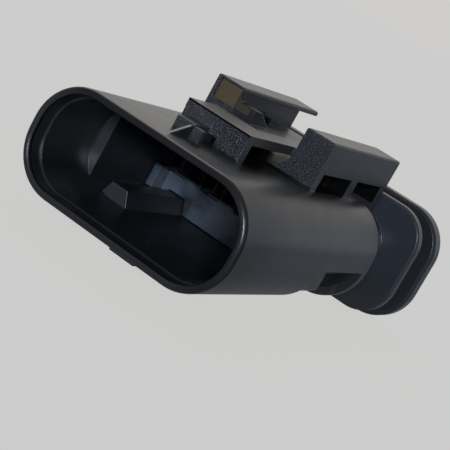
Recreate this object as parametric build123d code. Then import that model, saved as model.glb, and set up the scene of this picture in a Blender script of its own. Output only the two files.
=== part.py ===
"""Sealed receptacle connector for a vehicle's wiring, eight ways in one row.

The front view is the XZ plane and the object runs back along +Y. The origin is the centre of
the mouth of the shroud. Sizes are in millimetres.
"""
import os

from build123d import *

# Shroud: the oval sleeve that takes the mating plug
shroud_height = 17.0
shroud_side_flat = 1.6
shroud_corner = (shroud_height - shroud_side_flat) / 2
sleeve_length = 48.7
rim_wall = 1.1
rim_round = 0.7
rim_bevel = 0.2
rim_depth = 3.0
shroud_wall = 1.4
skirt_wall = 1.5

# Mating cavity behind the side ledges, and the bulkhead that closes it
ledge_depth = 15.0
ledge_width = 3.5
row_margin = 1.15
bulkhead_front = 38.0
bulkhead_thickness = 2.0

# Dovetail key rib on the cavity floor
key_offset = -10.85
key_top_width = 3.1
key_base_width = 5.1
key_height = 2.45
key_front = 17.0

# Terminal ways
way_count = 8
way_pitch = 3.6
way_wall = 0.5
way_height = 5.0
way_rise = 1.0

# Terminal tower inside the skirt
tower_wall = 0.85
tower_height = 11.4
tower_corner = 4.5

# Windows in the lower corners of the skirt
window_front = 29.7
window_rear = 47.0
window_top_drop = 1.0
window_inner_edge = 9.0
window_skin = 0.7

# Rear flange of the housing and the seal socket behind it
flange_front = 59.0
flange_thickness = 2.2
flange_overhang = 2.6
flange_lip = 2.3
flange_corner = 6.2
flange_bevel = 0.3
rear_rise = 0.45
seal_margin = 3.8
socket_height = 15.2
socket_corner = 6.0
socket_wall = 1.9
socket_rear = 66.0
socket_floor_thickness = 1.2
leg_notch_width = 6.2
leg_notch_depth = 1.5

# Stop plate and deck on top of the shroud
plate_front = 13.6
plate_width = 11.56
plate_thickness = 1.75
deck_rise = 4.3
deck_thickness = 1.4
deck_rear = 50.2

# Clip channel: two rails with lips, on walls that stand on the shroud
channel_width = 12.28
rail_width = 5.17
rail_front = 28.5
rail_length = 28.7
rail_rise = 8.0
rail_round = 0.35
lip_thickness = 0.8
lip_overhang = 3.3
front_wall = 2.0
middle_rib_start = 13.4
middle_rib_thickness = 2.6
end_wall = 2.1
web_thickness = 1.4
tunnel_corner = 3.9
front_panel_margin = 0.7
front_panel_top = 0.35
front_panel_depth = 0.6

# Wedge nib between the rails, in its shallow groove in the deck
nib_width = 3.45
nib_rise = 1.55
nib_flat = 2.1
nib_length = 6.6
groove_depth = 0.7
groove_front = 22.5
groove_right = 2.0

# Catch in front of the stop plate
catch_rise = 2.1
catch_left = -3.6
catch_right = -0.4
catch_front = 9.0
fin_thickness = 0.45
fin_front = 3.6
fin_peak = 8.4
fin_drop = 0.3
hook_left = 0.3
hook_width = 1.6
hook_front = 7.7
hook_thickness = 1.15
shutoff_left = -0.9
shutoff_width = 2.0
shutoff_height = 1.4
pad_right = -0.1
pad_rise = 3.65
pad_depth = 0.2

# Keel under the mouth
keel_left = 0.6
keel_width = 4.6
keel_depth = 0.8
keel_front = 2.2
keel_length = 12.0
keel_round = 0.3

# Terminal lock
lock_front = 34.3
lock_seat_gap = 0.2
lock_side_gap = 0.15
lock_edge_wall = 0.5
post_shift = 0.8
wide_window_drop = 0.4
narrow_window_rise = 0.35
lock_tab_front = 31.0
lock_tab_thickness = 1.3
lock_tab_low = -5.2
lock_tab_high = -1.1
prong_width_share = 0.65
prong_thickness = 1.2
prong_length = 6.0
prong_gap = 0.2

# Wire seal
seal_thickness = 4.0
seal_gap = 0.1
seal_lip_depth = 0.5
seal_lip_count = 2
seal_lip_width = 0.8
wire_hole_radius = 1.25
wire_lip_radius = 0.95
wire_lip_width = 0.9

# Rear cover
cover_overhang = 1.0
cover_lip = 0.65
cover_corner = 7.3
cover_rise = 0.15
cover_thickness = 3.3
cover_bevel = 0.45
cover_plug_gap = 0.2
cover_rim = 1.9
cover_web = 1.4
cover_boss_margin = 1.6
cover_boss_corner = 2.2
cover_rib_count = 4
cover_rib_thickness = 0.9
cover_rib_drop = 0.5
entry_radius = 1.45
entry_flare = 0.4
leg_width = 5.6
leg_thickness = 1.2
leg_gap = 0.15
leg_hook_reach = 0.9
leg_hook_length = 1.4

# Shared by every cut, and the easing of the moulding's outer edges
overrun = 1.0
edge_round = 0.2

# Worked out from the sizes above
way_width = way_pitch - way_wall
row_length = (way_count - 1) * way_pitch
row_width = row_length + way_width
deep_cavity_width = row_width + 2 * row_margin
shroud_width = deep_cavity_width + 2 * ledge_width
tower_width = row_width + 2 * tower_wall
prong_width = prong_width_share * way_width
shroud_top = shroud_height / 2
deck_top = shroud_top + deck_rise
deck_bottom = deck_top - deck_thickness
rail_top = shroud_top + rail_rise
rail_rear = rail_front + rail_length
rail_inner = channel_width / 2
rail_outer = rail_inner + rail_width
bulkhead_rear = bulkhead_front + bulkhead_thickness
flange_rear = flange_front + flange_thickness
socket_floor = flange_front + socket_floor_thickness
pocket_width = row_length + 2 * seal_margin
socket_width = pocket_width + 2 * socket_wall
flange_height = socket_height + 2 * flange_lip
cover_height = flange_height + 2 * cover_lip
flange_top = rear_rise + flange_height / 2
flange_width = socket_width + 2 * flange_overhang
cover_width = flange_width + 2 * cover_overhang
pocket_height = socket_height - 2 * socket_wall
pocket_corner = socket_corner - socket_wall
seal_rear = socket_floor + seal_thickness
cover_rear = socket_rear + cover_thickness
cavity_floor = shroud_wall - shroud_top
lock_rear = bulkhead_front - lock_seat_gap
way_low = way_rise - way_height / 2
way_places = [(i - (way_count - 1) / 2) * way_pitch for i in range(way_count)]


def block(x0, x1, y0, y1, z0, z1):
    """A box between two corners."""
    box = Box(x1 - x0, y1 - y0, z1 - z0, align=(Align.MIN, Align.MIN, Align.MIN))
    return Pos(x0, y0, z0) * box


def run_back(outline, y0, y1):
    """A front-view outline carried back from y0 to y1."""
    return extrude(Plane.XZ.offset(-y0) * outline, amount=y0 - y1)


def run_across(points, x0, x1):
    """A side-view outline of (y, z) points carried across from x0 to x1."""
    outline = make_face(Polyline(points, close=True))
    return extrude(Plane.YZ.offset(x0) * outline, amount=x1 - x0)


def rounded(width, height, corner, rise=0):
    """A rounded rectangle in the front view."""
    return Pos(0, rise) * RectangleRounded(width, height, corner)


def both_outlines(plate):
    """The edges round the front and the rear of a plate."""
    rows = plate.edges().group_by(Axis.Y)
    return rows[0] + rows[-1]


def eased(solid, direction, side):
    """A block with the edges of one of its faces rounded a little."""
    return fillet(solid.edges().group_by(direction)[side], edge_round)


def shroud_section(inset):
    """The shroud's own outline, moved in by a wall."""
    return rounded(shroud_width - 2 * inset, shroud_height - 2 * inset, shroud_corner - inset)


def deep_section(gap):
    """The cavity behind the side ledges, less a gap all round."""
    sides = Rectangle(deep_cavity_width - 2 * gap, shroud_height)
    return shroud_section(shroud_wall + gap) & sides


def key_rib(gap):
    """The dovetail key on the cavity floor, grown by a gap."""
    base = cavity_floor - gap
    top = cavity_floor + key_height + gap
    half_base = key_base_width / 2 + gap
    half_top = key_top_width / 2 + gap
    outline = make_face(
        Polyline(
            (key_offset - half_base, base),
            (key_offset + half_base, base),
            (key_offset + half_top, top),
            (key_offset - half_top, top),
            close=True,
        )
    )
    sunk = block(
        key_offset - half_base,
        key_offset + half_base,
        key_front,
        bulkhead_front,
        base - shroud_wall / 2,
        base,
    )
    return run_back(outline, key_front, bulkhead_front) + sunk


def shroud():
    """The sleeve with its stepped bore, ledges, bulkhead and open skirt."""
    body = run_back(shroud_section(0), 0, sleeve_length)
    front_rim = body.edges().filter_by_position(Axis.Y, 0, 0)
    body = fillet(front_rim, rim_round)
    mouth = run_back(shroud_section(rim_wall), 0, rim_depth)
    lead_in = loft(
        [
            Plane.XZ * shroud_section(rim_wall - rim_bevel),
            Plane.XZ.offset(-rim_bevel) * shroud_section(rim_wall),
        ]
    )
    bore = run_back(shroud_section(shroud_wall), 0, ledge_depth)
    deep = run_back(deep_section(0), 0, bulkhead_front)
    skirt = run_back(shroud_section(skirt_wall), bulkhead_rear, sleeve_length + overrun)
    return body - mouth - lead_in - bore - deep - skirt


def corner_windows():
    """The two openings in the lower corners of the skirt, blind over the cavity."""
    strip = run_back(shroud_section(-overrun), window_front, window_rear)
    cavity_skin = run_back(
        offset(deep_section(0), amount=window_skin), window_front - overrun, bulkhead_rear
    )
    tower_keep = run_back(shroud_section(skirt_wall), bulkhead_rear, sleeve_length)
    reach = shroud_width / 2 + 2 * overrun
    drop = shroud_height / 2 + 2 * overrun
    cuts = []
    for side in (-1, 1):
        inner = side * window_inner_edge
        outer = side * reach
        zone = block(
            min(inner, outer), max(inner, outer), window_front, window_rear, -drop, -window_top_drop
        )
        cuts.append((strip & zone) - cavity_skin - tower_keep)
    return cuts


def tower():
    """The terminal tower, the flange behind it and the seal socket."""
    outline = rounded(tower_width, tower_height, tower_corner, rear_rise)
    body = run_back(outline, bulkhead_front, flange_rear)
    flange = run_back(
        rounded(flange_width, flange_height, flange_corner, rear_rise), flange_front, flange_rear
    )
    flange = chamfer(both_outlines(flange), flange_bevel)
    notch_low = flange_top - leg_notch_depth
    notch_drop = 2 * rear_rise - notch_low
    half_notch = leg_notch_width / 2
    flange -= block(
        -half_notch, half_notch, flange_front - overrun, flange_rear + overrun,
        notch_low, flange_top + overrun,
    )
    flange -= block(
        -half_notch, half_notch, flange_front - overrun, flange_rear + overrun,
        2 * rear_rise - flange_top - overrun, notch_drop,
    )
    socket = run_back(
        rounded(socket_width, socket_height, socket_corner, rear_rise), flange_front, socket_rear
    )
    pocket = run_back(
        rounded(pocket_width, pocket_height, pocket_corner, rear_rise),
        socket_floor,
        socket_rear + overrun,
    )
    return body + flange + socket - pocket


def terminal_ways():
    """The row of ways through the tower, each with a slot for a prong of the lock."""
    slot_width = prong_width + 2 * prong_gap
    slot_low = way_low - prong_thickness - 2 * prong_gap
    slot_end = lock_rear + prong_length + prong_gap
    cuts = []
    for x in way_places:
        cuts.append(
            block(
                x - way_width / 2, x + way_width / 2, bulkhead_front - overrun,
                socket_floor + overrun, way_low, way_low + way_height,
            )
        )
        cuts.append(
            block(
                x - slot_width / 2, x + slot_width / 2, bulkhead_front - overrun,
                slot_end, slot_low, way_low + prong_gap,
            )
        )
    return cuts


def stop_plate():
    """The upright plate in front of the deck, with the hole that frees the catch."""
    half = plate_width / 2
    plate = block(
        -half, half, plate_front, plate_front + plate_thickness, shroud_top - shroud_wall / 2, deck_top
    )
    plate = eased(plate, Axis.Y, 0)
    plate += block(
        catch_left, pad_right, plate_front - pad_depth, plate_front + pad_depth,
        shroud_top - shroud_wall / 2, shroud_top + pad_rise,
    )
    hole = block(
        shutoff_left, shutoff_left + shutoff_width, plate_front - overrun,
        plate_front + plate_thickness + overrun, shroud_top, shroud_top + shutoff_height,
    )
    return plate - hole


def catch():
    """The catch in front of the stop plate: a step, a sloped fin and a hook."""
    root = shroud_top - shroud_wall / 2
    crest = shroud_top + catch_rise
    step = block(catch_left, catch_right, catch_front, plate_front + plate_thickness, root, crest)
    fin = run_across(
        [(fin_front, root), (fin_front, shroud_top), (fin_peak, crest - fin_drop),
         (catch_front, crest - fin_drop), (catch_front, root)],
        catch_right - fin_thickness,
        catch_right,
    )
    hook = block(
        hook_left, hook_left + hook_width, hook_front, hook_front + hook_thickness, root, crest
    )
    return eased(step, Axis.Y, 0) + fin + eased(hook, Axis.Z, -1)


def deck():
    """The deck from the stop plate back under the rails, with the groove round the nib."""
    half = plate_width / 2
    front = block(-half, half, plate_front, rail_front + front_wall, deck_bottom, deck_top)
    middle = block(-rail_inner, rail_inner, rail_front, deck_rear, deck_bottom, deck_top)
    groove = block(
        -rail_inner, groove_right, groove_front, deck_rear + overrun,
        deck_top - groove_depth, deck_top + overrun,
    )
    return front + middle - groove


def wedge_nib():
    """The nib that holds the clip: square front, flat top, long slope behind."""
    foot = deck_top - groove_depth
    crest = deck_top + nib_rise
    root = foot - deck_thickness / 4
    return run_across(
        [(rail_front, root), (rail_front, crest), (rail_front + nib_flat, crest),
         (rail_front + nib_length, foot), (rail_front + nib_length, root)],
        -rail_inner,
        nib_width - rail_inner,
    )


def rail(side):
    """One rail of the clip channel: side wall, lip, floor and the walls that carry it."""
    inner = rail_inner
    outer = rail_outer
    foot = shroud_top - shroud_wall / 2
    beam = block(inner, outer, rail_front, rail_rear, deck_bottom, rail_top)
    beam = fillet(beam.edges().group_by(Axis.Z)[-1], rail_round)
    groove = block(
        inner - overrun, inner + lip_overhang, rail_front + front_wall, rail_rear + overrun,
        deck_top - groove_depth, rail_top - lip_thickness,
    )
    floor_cut = block(
        inner - overrun, inner + lip_overhang, deck_rear, rail_rear + overrun,
        deck_bottom, deck_top + overrun,
    )
    front = block(0, outer, rail_front, rail_front + front_wall, foot, deck_bottom)
    rib_start = rail_front + middle_rib_start
    rib = block(inner, outer, rib_start, rib_start + middle_rib_thickness, foot, deck_top)
    web = block(0, inner + web_thickness, rail_front, sleeve_length, foot, deck_bottom)
    tower_top = rear_rise + tower_height / 2
    end = block(inner, outer, rail_rear - end_wall, rail_rear, tower_top - overrun, deck_top)
    result = beam + end - groove - floor_cut + (front + web - tunnel()) + rib
    if side < 0:
        result = mirror(result, about=Plane.YZ)
    return result


def front_panel():
    """The shallow square recess in the front of the left rail."""
    return block(
        -(rail_outer - front_panel_margin), -rail_inner - rail_round / 2, rail_front - overrun,
        rail_front + front_panel_depth, deck_top, rail_top - front_panel_top,
    )


def tunnel():
    """The space under the deck, with rounded lower corners."""
    tall = Pos(0, shroud_top + 2 * tunnel_corner) * RectangleRounded(
        channel_width, 4 * tunnel_corner, tunnel_corner
    )
    under = Pos(0, deck_bottom - shroud_height / 2) * Rectangle(2 * channel_width, shroud_height)
    return run_back(tall & under, plate_front + plate_thickness, rail_rear + overrun)


def keel():
    """The low keel under the mouth."""
    foot = -shroud_top - keel_depth
    bar = block(
        keel_left, keel_left + keel_width, keel_front, keel_front + keel_length,
        foot, shroud_wall / 2 - shroud_top,
    )
    return fillet(bar.edges().group_by(Axis.Z)[0], keel_round)


def housing():
    """The whole moulding."""
    body = shroud()
    for cut in corner_windows():
        body -= cut
    body += key_rib(0)
    body += tower()
    for cut in terminal_ways():
        body -= cut
    top = stop_plate() + deck() + rail(1) + rail(-1)
    body += top
    body += wedge_nib()
    body += catch()
    body += keel()
    body -= front_panel()
    return body


def terminal_lock():
    """The front insert: a plate with wide and narrow windows by turns, side tabs and prongs."""
    plate = run_back(deep_section(lock_side_gap), lock_front, lock_rear)
    side = deep_cavity_width / 2 - lock_side_gap
    for direction in (-1, 1):
        inner = direction * (side - lock_tab_thickness)
        outer = direction * side
        plate += block(
            min(inner, outer), max(inner, outer), lock_tab_front, lock_rear, lock_tab_low, lock_tab_high
        )
    plate -= key_rib(lock_side_gap)
    prong_top = way_low - prong_gap
    for i, x in enumerate(way_places):
        left = x - way_width / 2
        right = x + way_width / 2
        if i % 2 == 0:
            left = max(left - post_shift, lock_edge_wall - side)
            low = way_low - wide_window_drop
        else:
            right -= post_shift
            low = way_low + narrow_window_rise
        plate -= block(
            left, right, lock_front - overrun, lock_rear + overrun, low, way_low + way_height
        )
        plate += block(
            x - prong_width / 2, x + prong_width / 2, lock_front + overrun, lock_rear + prong_length,
            prong_top - prong_thickness, prong_top,
        )
    return plate


def wire_seal():
    """The mat seal: a core with lips round its edge, and a lip in each wire hole."""
    lip_width = pocket_width - 2 * seal_gap
    lip_height = pocket_height - 2 * seal_gap
    lip_corner = pocket_corner - seal_gap
    core = rounded(
        lip_width - 2 * seal_lip_depth, lip_height - 2 * seal_lip_depth,
        lip_corner - seal_lip_depth, rear_rise,
    )
    mat = run_back(core, socket_floor, seal_rear)
    lip_pitch = (seal_thickness - seal_lip_width) / (seal_lip_count - 1)
    for i in range(seal_lip_count):
        start = socket_floor + i * lip_pitch
        lip = run_back(
            rounded(lip_width, lip_height, lip_corner, rear_rise), start, start + seal_lip_width
        )
        mat += lip
    for x in way_places:
        place = Pos(x, way_rise)
        mat -= run_back(place * Circle(wire_lip_radius), socket_floor - overrun, seal_rear + overrun)
        mat -= run_back(
            place * Circle(wire_hole_radius), socket_floor + wire_lip_width, seal_rear + overrun
        )
    return mat


def snap_leg(side):
    """One leg of the cover: an arm through the flange's notch with a hook in front of it."""
    notch_floor = flange_height / 2 - leg_notch_depth
    low = notch_floor + leg_gap
    high = low + leg_thickness
    hook_rear = flange_front - leg_gap
    hook_front = hook_rear - leg_hook_length
    half = leg_width / 2
    arm = run_across(
        [
            (socket_rear + overrun, low),
            (socket_rear + overrun, high),
            (hook_front, high),
            (hook_front, high - leg_thickness / 2),
            (hook_rear, low - leg_hook_reach),
            (hook_rear, low),
        ],
        -half,
        half,
    )
    arm = Pos(0, 0, rear_rise) * arm
    if side < 0:
        arm = mirror(arm, about=Plane.XY.offset(rear_rise))
    return arm


def cover_ribs():
    """Upright ribs in the cover's tray, each between two wire entries."""
    half_height = cover_height / 2 - cover_rim / 2
    ribs = []
    for i in range(cover_rib_count):
        x = (i - (cover_rib_count - 1) / 2) * 2 * way_pitch
        ribs.append(
            block(
                x - cover_rib_thickness / 2, x + cover_rib_thickness / 2, socket_rear + cover_web / 2,
                cover_rear - cover_rib_drop, cover_rise - half_height, cover_rise + half_height,
            )
        )
    return ribs


def rear_cover():
    """The cap: a rimmed plate with the wire entries, the plug on the seal and the snap legs."""
    cap = run_back(
        rounded(cover_width, cover_height, cover_corner, cover_rise), socket_rear, cover_rear
    )
    cap = chamfer(both_outlines(cap), cover_bevel)
    tray = run_back(
        rounded(
            cover_width - 2 * cover_rim, cover_height - 2 * cover_rim, cover_corner - cover_rim, cover_rise
        ),
        socket_rear + cover_web,
        cover_rear + overrun,
    )
    boss_width = row_length + 2 * (entry_radius + cover_boss_margin)
    boss_height = 2 * (entry_radius + cover_boss_margin)
    boss = run_back(
        rounded(boss_width, boss_height, cover_boss_corner, way_rise), socket_rear, cover_rear
    )
    plug = run_back(
        rounded(
            pocket_width - 2 * cover_plug_gap, pocket_height - 2 * cover_plug_gap,
            pocket_corner - cover_plug_gap, rear_rise,
        ),
        seal_rear,
        socket_rear + cover_web / 2,
    )
    cap = cap - tray + boss + plug
    for rib in cover_ribs():
        cap += rib
    for side in (-1, 1):
        cap += snap_leg(side)
    for x in way_places:
        place = Pos(x, way_rise)
        cap -= run_back(place * Circle(entry_radius), seal_rear - overrun, cover_rear + overrun)
        flare = Cone(
            entry_radius, entry_radius + entry_flare, entry_flare,
            align=(Align.CENTER, Align.CENTER, Align.MAX),
        )
        cap -= Pos(x, cover_rear, way_rise) * Rot(-90, 0, 0) * flare
    return cap


pieces = {
    "housing": housing(),
    "terminal_lock": terminal_lock(),
    "wire_seal": wire_seal(),
    "rear_cover": rear_cover(),
}
os.makedirs("parts", exist_ok=True)
for name, piece in pieces.items():
    export_step(piece, f"parts/{name}.step")
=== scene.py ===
"""Finishes, light, floor and camera for the sealed receptacle connector."""

from collections import namedtuple
import math

import bpy
from mathutils import Matrix, Vector


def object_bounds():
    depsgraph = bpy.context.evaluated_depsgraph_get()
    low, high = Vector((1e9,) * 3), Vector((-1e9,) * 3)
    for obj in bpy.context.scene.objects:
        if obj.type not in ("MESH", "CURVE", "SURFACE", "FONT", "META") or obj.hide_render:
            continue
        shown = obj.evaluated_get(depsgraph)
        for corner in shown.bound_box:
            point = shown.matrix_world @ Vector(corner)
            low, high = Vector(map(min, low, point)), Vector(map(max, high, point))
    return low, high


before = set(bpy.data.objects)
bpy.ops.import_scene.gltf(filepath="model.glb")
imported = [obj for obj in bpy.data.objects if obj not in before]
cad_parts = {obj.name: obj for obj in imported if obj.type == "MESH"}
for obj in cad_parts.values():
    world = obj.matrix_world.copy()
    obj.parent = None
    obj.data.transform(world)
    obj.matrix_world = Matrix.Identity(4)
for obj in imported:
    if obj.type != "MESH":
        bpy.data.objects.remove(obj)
cad_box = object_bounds()
scene = bpy.context.scene
MM = 0.001

# Camera, as solved from the outlines of the mouth, the sleeve, the rails and the rear plates.
# Angles are in degrees, and the reach is in metres.
IMAGE_PIXELS = 450
FOCAL_PIXELS = 1302.2
SENSOR_MM = 36.0
CAMERA_PLACE_MM = (84.05, -149.07, 35.465)
CAMERA_HEADING = 24.803
CAMERA_PITCH = -11.129
CAMERA_ROLL = -29.127
CAMERA_REACH = 20.0

# Colours of the four pieces, as sRGB. The terminal lock's grey-blue is painted light: the light
# that its black face catches from the mouth.
BLACK_POLYESTER = "#1f1f20"
LOCK_PAINTED_LIGHT = "#4f5862"
COVER_POLYESTER = "#1c1e20"
SILICONE_GREY = "#55585b"

# Tones laid over them: painted glints on the grain's crests, painted shade, painted light and
# painted warm reflections
GRAIN_GLINT = "#5c6067"
PAINTED_SHADE_BLACK = "#1a1b1e"
PAINTED_LIT_FRONT = "#2b2d30"
PAINTED_LIT_FLANGE = "#262a30"
FRONT_SHADE = "#131416"
LOCK_SHADE = "#0b0c0e"
PAINTED_DEEP_SHADE = "#070707"
PAINTED_WINDOW_SHADE = "#2c2922"
PAINTED_WARM_REFLECTION = "#493d2b"
PAINTED_NIB_REFLECTION = "#352e25"

# Colours of the surroundings: the floor as lit and as shown, and the room by direction
PAPER = "#7f8691"
FLOOR_SHOWN = "#dedddb"
BACKDROP = "#cfcecc"
ROOM_FRONT = "#5c6068"
ROOM_BACK = "#c2bfb9"
ROOM_RIGHT = "#a9b3c2"
CEILING_WHITE = "#ffffff"
WINDOW_BLUE = "#dfe8f8"

# Spark-eroded grain. On such a part it is finer, some 0.05 mm, and is drawn coarse enough to show.
SPARK_GRAIN_MM = 0.15
GRAIN_HEIGHT_MM = 0.12
GRAIN_ROUGHNESS = 0.06

# Where the grain lies: above the sleeve's top, no further back than just behind the rails'
# fronts, and only on faces that look forward
GRAIN_FROM_MM = 8.7
GRAIN_FADE_MM = 0.2
GRAIN_TO_MM = 32.0
FORWARD_FULLY = -0.9
FORWARD_BARELY = -0.6

# The part of the grain's pattern that makes its crests, where glints are painted
CREST_FOOT = 0.53
CREST_TOP = 0.7

# Marks left by the melt's flow: the skin is a little duller in some places than in others
FLOW_MARK_MM = 6.0
FLOW_LOW = 0.3
FLOW_HIGH = 0.7
ROUGHNESS_BELOW = 0.03
ROUGHNESS_ABOVE = 0.04

# The part of the same pattern that makes the terminal lock's dark streaks, and their strength
STREAK_FROM = 0.42
STREAK_TO = 0.62
LOCK_STREAK = 0.85

# Roughness of the moulded skins
SATIN_ROUGHNESS = 0.3
CAP_ROUGHNESS = 0.32
RUBBER_ROUGHNESS = 0.6
MOULDING_IOR = 1.52

# Radius by which the edges look rounded
EDGE_MM = 0.2

# Share of the skin's own gloss: plain, half and dull. Where shade is painted, the gloss is lowered
# too; the rear cover takes the half share all over.
PLAIN_SHEEN = 0.5
HALF_SHEEN = 0.36
DULL_SHEEN = 0.16

# A patch that fades over less than this share is crisp and takes the grain away; a softer one
# keeps it
CRISP = 0.06

# A patch on one face reaches this far to either side of it
FACE_MM = 0.01

# Housing faces that look forward, as places along Y
STOP_PLATE_Y = 13.6
LEDGE_Y = 15.0
RAIL_Y = 28.5
FLANGE_Y = 59.0

# How much of the floor's look is evened out
EVEN_SHARE = 0.8

# How much of that look the satin black plastic mirrors, so that it stays black
GLOSSY_SHARE = 0.22

# Parts of a direction's Y and X over which the room's tone changes
BACK_FROM = -0.3
BACK_TO = 0.6
RIGHT_FROM = 0.0
RIGHT_TO = 0.4

# Width of the floor, in metres
FLOOR_WIDTH = 40.0

# Sockets of a Mix node: its two values and its result, for numbers and for colours
MIX_NUMBERS = (2, 3, 0)
MIX_COLOURS = (6, 7, 2)

Patch = namedtuple("Patch", "x y z tone fade sheen")


def linear(code):
    """An sRGB hex colour as linear RGBA."""
    channels = [int(code[i:i + 2], 16) / 255 for i in (1, 3, 5)]
    return tuple(
        c / 12.92 if c <= 0.04045 else ((c + 0.055) / 1.055) ** 2.4 for c in channels
    ) + (1.0,)


def add(tree, kind, links=None, inputs=None, **settings):
    """A node with its settings, its input values and the links into it."""
    node = tree.nodes.new(kind)
    for name, value in settings.items():
        setattr(node, name, value)
    for name, value in (inputs or {}).items():
        node.inputs[name].default_value = value
    for name, source in (links or {}).items():
        tree.links.new(source, node.inputs[name])
    return node


def inside(tree, place, patch):
    """1 inside a patch's box, falling to 0 at its border over a share of its half size."""
    ranges = (patch.x, patch.y, patch.z)
    centre = [(low + high) / 2 * MM for low, high in ranges]
    reach = [(high - low) / 2 * MM for low, high in ranges]
    away = add(
        tree, "ShaderNodeVectorMath", {0: place.outputs["Object"]}, {1: centre},
        operation="SUBTRACT",
    )
    share = add(
        tree, "ShaderNodeVectorMath", {0: away.outputs["Vector"]}, {1: reach},
        operation="DIVIDE",
    )
    size = add(tree, "ShaderNodeVectorMath", {0: share.outputs["Vector"]}, operation="ABSOLUTE")
    axes = add(tree, "ShaderNodeSeparateXYZ", {"Vector": size.outputs["Vector"]})
    widest = add(
        tree, "ShaderNodeMath", {0: axes.outputs["X"], 1: axes.outputs["Y"]},
        operation="MAXIMUM",
    )
    most = add(
        tree, "ShaderNodeMath", {0: widest.outputs["Value"], 1: axes.outputs["Z"]},
        operation="MAXIMUM",
    )
    mask = add(
        tree, "ShaderNodeMapRange", {"Value": most.outputs["Value"]},
        {
            "From Min": 1 - patch.fade, "From Max": 1 + patch.fade,
            "To Min": 1.0, "To Max": 0.0,
        },
    )
    return mask.outputs["Result"]


def front_grain(tree, place):
    """1 on the faces above the sleeve that look forward, where the mould is spark-eroded."""
    spot = add(tree, "ShaderNodeSeparateXYZ", {"Vector": place.outputs["Object"]})
    facing = add(tree, "ShaderNodeSeparateXYZ", {"Vector": place.outputs["Normal"]})
    sheer = add(
        tree, "ShaderNodeMapRange", {"Value": facing.outputs["Y"]},
        {
            "From Min": FORWARD_FULLY, "From Max": FORWARD_BARELY,
            "To Min": 1.0, "To Max": 0.0,
        },
    )
    forward = add(
        tree, "ShaderNodeMath", {0: spot.outputs["Y"]}, {1: GRAIN_TO_MM * MM},
        operation="LESS_THAN",
    )
    above = add(
        tree, "ShaderNodeMapRange", {"Value": spot.outputs["Z"]},
        {
            "From Min": GRAIN_FROM_MM * MM, "From Max": (GRAIN_FROM_MM + GRAIN_FADE_MM) * MM,
            "To Min": 0.0, "To Max": 1.0,
        },
    )
    raised = add(
        tree, "ShaderNodeMath", {0: forward.outputs["Value"], 1: above.outputs["Result"]},
        operation="MULTIPLY",
    )
    grained = add(
        tree, "ShaderNodeMath", {0: sheer.outputs["Result"], 1: raised.outputs["Value"]},
        operation="MULTIPLY",
    )
    return grained.outputs["Value"]


def layered(tree, colour, layers):
    """A colour with other tones laid over it in turn, each through its own mask."""
    under, over, result = MIX_COLOURS
    skin = add(tree, "ShaderNodeRGB").outputs[0]
    skin.default_value = linear(colour)
    for mask, tone in layers:
        skin = add(
            tree, "ShaderNodeMix", {"Factor": mask, under: skin}, {over: linear(tone)},
            data_type="RGBA",
        ).outputs[result]
    return skin


def patched_sheen(tree, sheen, masks, patches):
    """The plain sheen, replaced inside each patch by the patch's own."""
    under, over, result = MIX_NUMBERS
    gloss = add(tree, "ShaderNodeValue").outputs[0]
    gloss.default_value = sheen
    for mask, patch in zip(masks, patches):
        gloss = add(
            tree, "ShaderNodeMix", {"Factor": mask, under: gloss}, {over: patch.sheen}
        ).outputs[result]
    return gloss


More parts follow.
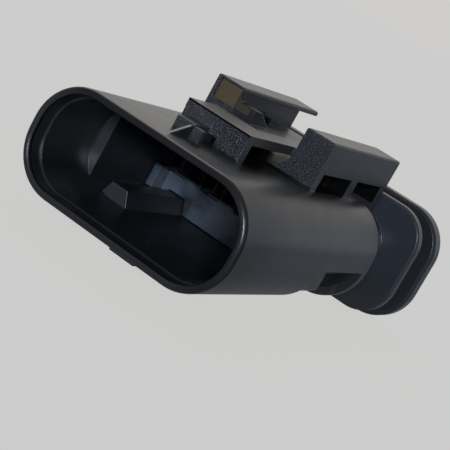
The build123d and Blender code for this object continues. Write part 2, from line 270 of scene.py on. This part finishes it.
def moulded(name, colour, roughness, patches=(), sheen=PLAIN_SHEEN, streak=0.0):
    """A moulded skin: satin, with flow marks, softened edges, patches of painted shade and light,
    and grain at the front with painted glints.
    """
    material = bpy.data.materials.new(name)
    material.use_nodes = True
    tree = material.node_tree
    tree.nodes.clear()
    place = add(tree, "ShaderNodeTexCoord")
    grain = add(
        tree, "ShaderNodeTexNoise", {"Vector": place.outputs["Object"]},
        {"Scale": 1 / (SPARK_GRAIN_MM * MM), "Detail": 2.0, "Roughness": 0.6},
    )
    flow = add(
        tree, "ShaderNodeTexNoise", {"Vector": place.outputs["Object"]},
        {"Scale": 1 / (FLOW_MARK_MM * MM), "Detail": 3.0, "Roughness": 0.55},
    )
    masks = [inside(tree, place, patch) for patch in patches]
    soft = [(m, patch.tone) for m, patch in zip(masks, patches) if patch.fade >= CRISP]
    crisp = [(m, patch.tone) for m, patch in zip(masks, patches) if patch.fade < CRISP]

    # A crisp patch takes the grain away.
    grained = front_grain(tree, place)
    for mask, _ in crisp:
        grained = add(
            tree, "ShaderNodeMath", {0: grained, 1: mask}, operation="SUBTRACT", use_clamp=True
        ).outputs["Value"]
    # Painted glints: a paler tone on the grain's crests that stands in for their highlights
    crest = add(
        tree, "ShaderNodeMapRange", {"Value": grain.outputs["Fac"]},
        {"From Min": CREST_FOOT, "From Max": CREST_TOP, "To Min": 0.0, "To Max": 1.0},
    )
    glint = add(
        tree, "ShaderNodeMath", {0: crest.outputs["Result"], 1: grained}, operation="MULTIPLY"
    )
    layers = soft + [(glint.outputs["Value"], GRAIN_GLINT)] + crisp
    if streak:
        # Darker streaks, laid at random over the terminal lock's painted light
        dark_streaks = add(
            tree, "ShaderNodeMapRange", {"Value": flow.outputs["Fac"]},
            {"From Min": STREAK_FROM, "From Max": STREAK_TO, "To Min": 0.0, "To Max": streak},
        )
        layers.insert(0, (dark_streaks.outputs["Result"], LOCK_SHADE))

    rounded_edge = add(tree, "ShaderNodeBevel", inputs={"Radius": EDGE_MM * MM}, samples=8)
    bump = add(
        tree, "ShaderNodeBump",
        {
            "Height": grain.outputs["Fac"], "Normal": rounded_edge.outputs["Normal"],
            "Strength": grained,
        },
        {"Distance": GRAIN_HEIGHT_MM * MM},
    )
    rough = add(
        tree, "ShaderNodeMapRange", {"Value": flow.outputs["Fac"]},
        {
            "From Min": FLOW_LOW, "From Max": FLOW_HIGH,
            "To Min": roughness - ROUGHNESS_BELOW, "To Max": roughness + ROUGHNESS_ABOVE,
        },
    )
    coarse = add(
        tree, "ShaderNodeMath", {0: grained, 2: rough.outputs["Result"]},
        {1: GRAIN_ROUGHNESS}, operation="MULTIPLY_ADD",
    )
    shader = add(
        tree, "ShaderNodeBsdfPrincipled",
        {
            "Base Color": layered(tree, colour, layers),
            "Roughness": coarse.outputs["Value"],
            "Normal": bump.outputs["Normal"],
            "Specular IOR Level": patched_sheen(tree, sheen, masks, patches),
        },
        {"IOR": MOULDING_IOR},
    )
    add(tree, "ShaderNodeOutputMaterial", {"Surface": shader.outputs["BSDF"]})
    return material


def direct_view(tree):
    """1 for rays from the camera or through a clear body, and a share for glossy bounces."""
    ray = add(tree, "ShaderNodeLightPath")
    glossy = add(
        tree, "ShaderNodeMath", {0: ray.outputs["Is Glossy Ray"]}, {1: GLOSSY_SHARE},
        operation="MULTIPLY",
    )
    seen = add(
        tree, "ShaderNodeMath", {0: ray.outputs["Is Camera Ray"], 1: glossy.outputs["Value"]},
        operation="MAXIMUM",
    )
    clear = add(
        tree, "ShaderNodeMath",
        {0: seen.outputs["Value"], 1: ray.outputs["Is Transmission Ray"]},
        operation="MAXIMUM",
    )
    return clear.outputs["Value"]


def floor_paper():
    """Plain pale paper; the camera sees it evened out, with a soft share of the shadow kept."""
    material = bpy.data.materials.new("pale_paper")
    material.use_nodes = True
    tree = material.node_tree
    tree.nodes.clear()
    paper = add(
        tree, "ShaderNodeBsdfDiffuse", inputs={"Color": linear(PAPER), "Roughness": 0.0}
    )
    even = add(
        tree, "ShaderNodeEmission", inputs={"Color": linear(FLOOR_SHOWN), "Strength": 1.0}
    )
    share = add(
        tree, "ShaderNodeMath", {0: direct_view(tree)}, {1: EVEN_SHARE}, operation="MULTIPLY"
    )
    mix = add(
        tree, "ShaderNodeMixShader",
        {0: share.outputs["Value"], 1: paper.outputs["BSDF"], 2: even.outputs["Emission"]},
    )
    add(tree, "ShaderNodeOutputMaterial", {"Surface": mix.outputs["Shader"]})
    return material


def dress(node, material):
    """Gives a CAD node one material."""
    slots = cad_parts[node].data.materials
    slots.clear()
    slots.append(material)


def photo_camera():
    """The camera at the photograph's place and angle."""
    data = bpy.data.cameras.new("camera")
    data.sensor_width = SENSOR_MM
    data.sensor_fit = "HORIZONTAL"
    data.lens = FOCAL_PIXELS / IMAGE_PIXELS * SENSOR_MM
    data.clip_start = MM
    data.clip_end = CAMERA_REACH
    camera = bpy.data.objects.new("camera", data)
    scene.collection.objects.link(camera)
    turn = Matrix.Rotation(math.radians(CAMERA_HEADING), 3, "Z")
    tilt = Matrix.Rotation(math.radians(90 + CAMERA_PITCH), 3, "X")
    roll = Matrix.Rotation(math.radians(-CAMERA_ROLL), 3, "Z")
    place = Matrix.Translation(Vector(CAMERA_PLACE_MM) * MM)
    camera.matrix_world = place @ (turn @ tilt @ roll).to_4x4()
    scene.camera = camera


def studio_world():
    """A plain room: pale behind the connector, cooler on the right, dimmer behind the camera."""
    under, over, result = MIX_COLOURS
    world = bpy.data.worlds.new("studio")
    world.use_nodes = True
    tree = world.node_tree
    tree.nodes.clear()
    place = add(tree, "ShaderNodeTexCoord")
    way = add(tree, "ShaderNodeSeparateXYZ", {"Vector": place.outputs["Generated"]})
    back = add(
        tree, "ShaderNodeMapRange", {"Value": way.outputs["Y"]},
        {"From Min": BACK_FROM, "From Max": BACK_TO, "To Min": 0.0, "To Max": 1.0},
    )
    right = add(
        tree, "ShaderNodeMapRange", {"Value": way.outputs["X"]},
        {"From Min": RIGHT_FROM, "From Max": RIGHT_TO, "To Min": 0.0, "To Max": 1.0},
    )
    behind = add(
        tree, "ShaderNodeMix", {"Factor": right.outputs["Result"]},
        {under: linear(ROOM_BACK), over: linear(ROOM_RIGHT)}, data_type="RGBA",
    )
    room = add(
        tree, "ShaderNodeMix",
        {"Factor": back.outputs["Result"], over: behind.outputs[result]},
        {under: linear(ROOM_FRONT)}, data_type="RGBA",
    )
    shown = add(
        tree, "ShaderNodeMix", {"Factor": direct_view(tree), under: room.outputs[result]},
        {over: linear(BACKDROP)}, data_type="RGBA",
    )
    light = add(
        tree, "ShaderNodeBackground", {"Color": shown.outputs[result]}, {"Strength": 1.0}
    )
    add(tree, "ShaderNodeOutputWorld", {"Surface": light.outputs["Background"]})
    return world


def far_lamp(name, toward, energy, spread, colour, glossy=True):
    """A very soft light from far away; toward points from the object to the light."""
    lamp = bpy.data.lights.new(name, "SUN")
    lamp.energy = energy
    lamp.angle = math.radians(spread)
    lamp.color = linear(colour)[:3]
    holder = bpy.data.objects.new(name, lamp)
    scene.collection.objects.link(holder)
    holder.rotation_euler = Vector(toward).to_track_quat("Z", "Y").to_euler()
    holder.visible_glossy = glossy


def on(face, reach=FACE_MM):
    """The range that holds one upright face."""
    return (face - reach, face + reach)


def both_sides(patch):
    """A patch on the right and its twin on the left."""
    return [patch, patch._replace(x=(-patch.x[1], -patch.x[0]))]


# Parts of the housing with another tone or sheen, each of them painted shade, painted light or a
# painted reflection: ranges along X, Y and Z in millimetres of its own frame, tone, fade and
# sheen. Where two overlap, the later row lies on top, but the tone of a crisp one always lies over
# that of a soft one.
HOUSING_PATCHES = [
    # Right parts of the rails' fronts and of the stop plate, darker as in shade
    Patch((-9.0, 17.0), on(RAIL_Y), (5.0, 20.0), FRONT_SHADE, 0.35, HALF_SHEEN),
    Patch((0.0, 12.0), on(STOP_PLATE_Y), (5.0, 17.0), FRONT_SHADE, 0.5, HALF_SHEEN),
    # Painted shade on the rounded edge of the mouth, on top and on the right
    Patch((-34.0, 34.0), (-6.0, 6.0), (6.6, 10.4), FRONT_SHADE, 0.6, HALF_SHEEN),
    Patch((14.2, 22.0), (-10.0, 10.0), (-14.0, 6.0), FRONT_SHADE, 0.6, HALF_SHEEN),
    # Sleeve under the deck, in its shade
    Patch((-5.2, 7.5), (15.4, 30.5), (8.3, 8.8), PAINTED_DEEP_SHADE, 0.35, DULL_SHEEN),
    # Painted shade: a dark line that runs round the mouth just behind its edge
    Patch((-30.0, 30.0), (0.4, 0.8), (-12.0, 12.0), PAINTED_DEEP_SHADE, 0.4, DULL_SHEEN),
    # Painted shade inside the pockets under the rails
    *both_sides(Patch((6.2, 11.26), (30.4, 57.3), (8.3, 11.42), PAINTED_DEEP_SHADE, 0.01, DULL_SHEEN)),
    # Painted shade on the bottom of the left rail's groove, behind the nib
    Patch((-9.6, -6.1), (40.8, 45.8), (11.3, 13.0), PAINTED_DEEP_SHADE, 0.02, DULL_SHEEN),
    # Painted warm shade on the thin wall inside the skirt's corner windows
    *both_sides(Patch((15.5, 16.2), (29.6, 47.1), (-8.4, -1.0), PAINTED_WINDOW_SHADE, 0.02, PLAIN_SHEEN)),
    # Painted light on the upper part of the flange's front, paler and bluer than below
    Patch((-25.0, 25.0), on(FLANGE_Y, 0.1), (-2.0, 20.0), PAINTED_LIT_FLANGE, 0.6, PLAIN_SHEEN),
    # Painted shade in the mating cavity: floor near the mouth, walls behind the ledges, floor
    # behind the ledges
    Patch((-11.5, 13.4), (1.5, 17.05), (-7.6, -5.9), PAINTED_SHADE_BLACK, 0.1, DULL_SHEEN),
    Patch((-15.5, 15.5), (15.1, 45.0), (-5.9, 6.0), PAINTED_SHADE_BLACK, 0.005, DULL_SHEEN),
    Patch((-13.6, 13.6), (15.1, 45.0), (-7.5, -5.9), PAINTED_SHADE_BLACK, 0.005, DULL_SHEEN),
    # Painted light on the fronts of the key rib and of the left ledge, and painted shade on the
    # wall in front of them
    Patch((-13.5, -8.0), (16.95, 17.02), (-8.0, -3.7), PAINTED_LIT_FRONT, 0.01, PLAIN_SHEEN),
    Patch((-17.0, -12.0), on(LEDGE_Y, 0.05), (-7.5, 7.5), PAINTED_LIT_FRONT, 0.01, PLAIN_SHEEN),
    Patch((-16.8, -10.4), (1.0, 14.9), (-6.0, 5.5), FRONT_SHADE, 0.2, PLAIN_SHEEN),
    # Painted warm reflection on the recess in the left rail's front, painted shade on the nib's
    # front and a painted warm reflection on its top
    Patch((-10.6, -6.3), (28.7, 29.3), (12.8, 16.15), PAINTED_WARM_REFLECTION, 0.01, PLAIN_SHEEN),
    Patch((-6.2, -2.5), on(RAIL_Y, 0.1), (11.5, 14.5), PAINTED_SHADE_BLACK, 0.01, PLAIN_SHEEN),
    Patch((-6.14, -3.6), on(RAIL_Y, 0.1), (13.0, 14.2), PAINTED_NIB_REFLECTION, 0.05, PLAIN_SHEEN),
    # Painted shade: a dark line under the top edge of the stop plate's front and of the rails'
    # fronts
    Patch((-6.0, 6.0), on(STOP_PLATE_Y), (12.48, 12.78), PAINTED_DEEP_SHADE, 0.01, DULL_SHEEN),
    *both_sides(Patch((6.1, 11.3), on(RAIL_Y), (16.4, 16.66), PAINTED_DEEP_SHADE, 0.01, DULL_SHEEN)),
]

# Terminal lock: its right part, and its upper part with the windows, darker as in shade
LOCK_PATCHES = [
    Patch((-2.0, 24.0), (20.0, 60.0), (-20.0, 20.0), LOCK_SHADE, 0.6, DULL_SHEEN),
    Patch((-40.0, 40.0), (10.0, 70.0), (-1.6, 20.0), PAINTED_DEEP_SHADE, 0.03, DULL_SHEEN),
]

# Glass-filled polyester (PBT), injection-moulded. Polished steel gives the sleeve and the tops a
# satin skin with wide soft highlights. Spark-eroded steel gives the front faces a grain, whose
# crests carry painted glints. Shade and light are painted on many faces, in the patches above.
dress("housing", moulded(
    "satin_polyester_moulding", BLACK_POLYESTER, SATIN_ROUGHNESS, HOUSING_PATCHES
))

# The same polyester, moulded thin and smooth. Its grey-blue colour is painted light, the light
# that its face catches from the mouth, with darker streaks laid over it at random.
dress("terminal_lock", moulded(
    "smooth_polyester_insert", LOCK_PAINTED_LIGHT, SATIN_ROUGHNESS, LOCK_PATCHES, streak=LOCK_STREAK
))

# The same polyester from a duller mould: black, with weaker highlights.
dress("rear_cover", moulded(
    "satin_polyester_cap", COVER_POLYESTER, CAP_ROUGHNESS, sheen=HALF_SHEEN
))

# Silicone rubber, compression-moulded: an even dull grey that shows hardly any highlight.
dress("wire_seal", moulded("grey_silicone_rubber", SILICONE_GREY, RUBBER_ROUGHNESS))

lowest = cad_box[0][2]
bpy.ops.mesh.primitive_plane_add(size=FLOOR_WIDTH, location=(0, 0, lowest))
floor = bpy.context.object
floor.name = "floor"
floor.data.materials.append(floor_paper())

# A wide dim light above and behind, a window at the front right, and a fill beside it that no
# glossy ray sees, because its mirror image whitened the tops when seen from behind
scene.world = studio_world()
far_lamp("ceiling", toward=(-0.55, 0.55, 0.65), energy=0.6, spread=40, colour=CEILING_WHITE)
far_lamp("window", toward=(0.507, -0.811, 0.27), energy=2.6, spread=12, colour=WINDOW_BLUE)
far_lamp(
    "fill", toward=(0.341, -0.937, 0.205), energy=1.4, spread=14, colour=WINDOW_BLUE,
    glossy=False,
)
photo_camera()
scene.view_settings.view_transform = "Standard"
